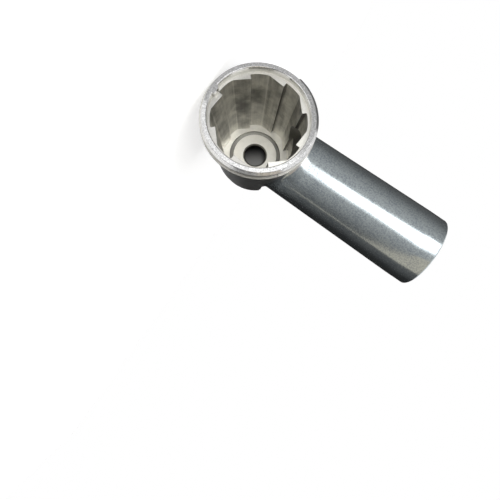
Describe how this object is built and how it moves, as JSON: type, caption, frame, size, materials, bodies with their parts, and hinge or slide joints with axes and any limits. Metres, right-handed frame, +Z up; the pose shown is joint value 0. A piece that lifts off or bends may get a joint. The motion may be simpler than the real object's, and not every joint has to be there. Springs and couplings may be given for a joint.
{
  "type": "meat grinder auger housing",
  "caption": "Cast aluminium auger housing of an electric meat grinder: rifled barrel with a ring thread, plate seat and rear spigot, and an upright feed tube.",
  "frame": {"origin": "on the barrel axis, in the plane of the rear spigot's shoulder", "axes": "+Y along the barrel axis from the open rim to the spigot, +Z up the feed tube, +X to the right when looking into the rim"},
  "size_m": [0.0722, 0.0888, 0.1754],
  "materials": {
    "cast_aluminium": "satin, machined at the rim and inside"
  },
  "bodies": {
    "root": {"auger_housing": "cast_aluminium"}
  },
  "joints": []
}
